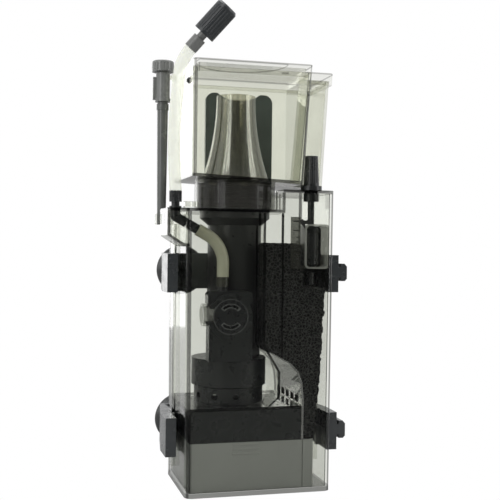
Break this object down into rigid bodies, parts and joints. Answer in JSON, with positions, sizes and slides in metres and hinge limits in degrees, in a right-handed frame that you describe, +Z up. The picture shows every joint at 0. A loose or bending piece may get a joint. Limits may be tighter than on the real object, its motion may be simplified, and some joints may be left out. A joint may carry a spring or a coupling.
{
  "type": "protein skimmer",
  "caption": "Slim internal aquarium skimmer: clear smoked tank with foam column, pump and sponge, lift-off cup with lid, level knob, air hose and suction-cup brackets.",
  "frame": {"origin": "centre of the tank's foot, on its lowest face", "axes": "+Z up, -Y out of the front with the scale, +X to the side with the level knob"},
  "size_m": [0.1495, 0.1322, 0.3545],
  "materials": {
    "smoke_clear": "gloss",
    "cup_clear": "gloss",
    "gate_clear": "satin",
    "black_plastic": "satin",
    "grey_plastic": "satin",
    "black_rubber": "matte",
    "cup_rubber": "gloss",
    "foam": "matte",
    "felt": "matte",
    "ceramic": "gloss",
    "magnet": "satin",
    "tube_beige": "satin",
    "tube_milky": "gloss",
    "ink": "matte",
    "pole_grey": "satin"
  },
  "bodies": {
    "frame": {"air_elbow": "black_plastic", "air_tube": "tube_milky", "air_wing": "smoke_clear", "base_tray": "grey_plastic", "cable_gland": "black_rubber", "chamber_shelf": "smoke_clear", "column_base": "black_plastic", "cup_rest": "smoke_clear", "deck_plate": "smoke_clear", "foam_guide": "smoke_clear", "foam_partition": "smoke_clear", "foam_sponge": "foam", "gate_back": "black_plastic", "gate_housing": "gate_clear", "gate_shelf": "smoke_clear", "hose_nut": "black_plastic", "impeller_shaft": "ceramic", "inner_air_tube": "tube_beige", "inner_partition": "smoke_clear", "level_bushing": "black_plastic", "level_pointer": "ink", "level_scale": "cup_clear", "neck_rings": "black_rubber", "outlet_box": "black_plastic", "pole_socket": "smoke_clear", "pump_housing": "black_plastic", "pump_nozzle": "smoke_clear", "reaction_column": "black_plastic", "riser_pole": "pole_grey", "scale_marks": "ink", "shaft_bush_rear": "black_rubber", "silencer_body": "black_plastic", "silencer_cap": "black_plastic", "silencer_felt": "felt", "silencer_stem": "black_plastic", "tank_body": "smoke_clear", "valve_barrel": "pole_grey", "valve_nozzle": "cup_clear", "venturi_nozzle": "black_plastic"},
    "cup": {"collection_cup": "cup_clear", "riser_cone": "cup_clear", "vent_plug": "black_plastic"},
    "lid": {"cup_lid": "cup_clear"},
    "knob": {"level_knob": "black_plastic", "level_spindle": "black_plastic", "level_gate": "black_plastic"},
    "valve": {"valve_cap": "pole_grey"},
    "rotor": {"impeller": "black_plastic", "rotor_magnet": "magnet"},
    "cover": {"pump_cover": "black_plastic", "shaft_bush_front": "black_rubber"},
    "hanger": {"rear_hanger": "black_plastic"},
    "mount_ul": {"bracket_ul": "black_plastic", "suction_cup_ul": "cup_rubber"},
    "mount_ur": {"bracket_ur": "black_plastic", "suction_cup_ur": "cup_rubber"},
    "mount_ll": {"bracket_ll": "black_plastic", "suction_cup_ll": "cup_rubber"},
    "mount_lr": {"bracket_lr": "black_plastic", "suction_cup_lr": "cup_rubber"}
  },
  "joints": [
    {"name": "cup_lift", "type": "slide", "parent": "frame", "child": "cup", "axis": [0, 0, 1], "range_m": [0, 0.06]},
    {"name": "lid_lift", "type": "slide", "parent": "cup", "child": "lid", "axis": [0, 0, 1], "range_m": [0, 0.05]},
    {"name": "level_knob_turn", "type": "hinge", "parent": "frame", "child": "knob", "pos_m": [0.041, -0.0276, 0.224], "axis": [0, 0, 1], "range_deg": [-90, 90]},
    {"name": "valve_turn", "type": "hinge", "parent": "frame", "child": "valve", "pos_m": [-0.0678, 0.003, 0.3126], "axis": [0, 0, 1], "range_deg": [0, 270]},
    {"name": "rotor_spin", "type": "hinge", "parent": "frame", "child": "rotor", "pos_m": [-0.0222, -0.0244, 0.1303], "axis": [0, 1, 0], "continuous": true},
    {"name": "cover_twist", "type": "hinge", "parent": "frame", "child": "cover", "pos_m": [-0.0222, -0.035, 0.1303], "axis": [0, 1, 0], "range_deg": [0, 30]},
    {"name": "hanger_slide", "type": "slide", "parent": "frame", "child": "hanger", "axis": [0, 0, 1], "range_m": [-0.012, 0.04]},
    {"name": "bracket_ul_slide", "type": "slide", "parent": "frame", "child": "mount_ul", "axis": [0, 0, 1], "range_m": [-0.045, 0.004]},
    {"name": "bracket_ur_slide", "type": "slide", "parent": "frame", "child": "mount_ur", "axis": [0, 0, 1], "range_m": [-0.045, 0.02]},
    {"name": "bracket_ll_slide", "type": "slide", "parent": "frame", "child": "mount_ll", "axis": [0, 0, 1], "range_m": [-0.012, 0.045]},
    {"name": "bracket_lr_slide", "type": "slide", "parent": "frame", "child": "mount_lr", "axis": [0, 0, 1], "range_m": [-0.012, 0.045]}
  ]
}
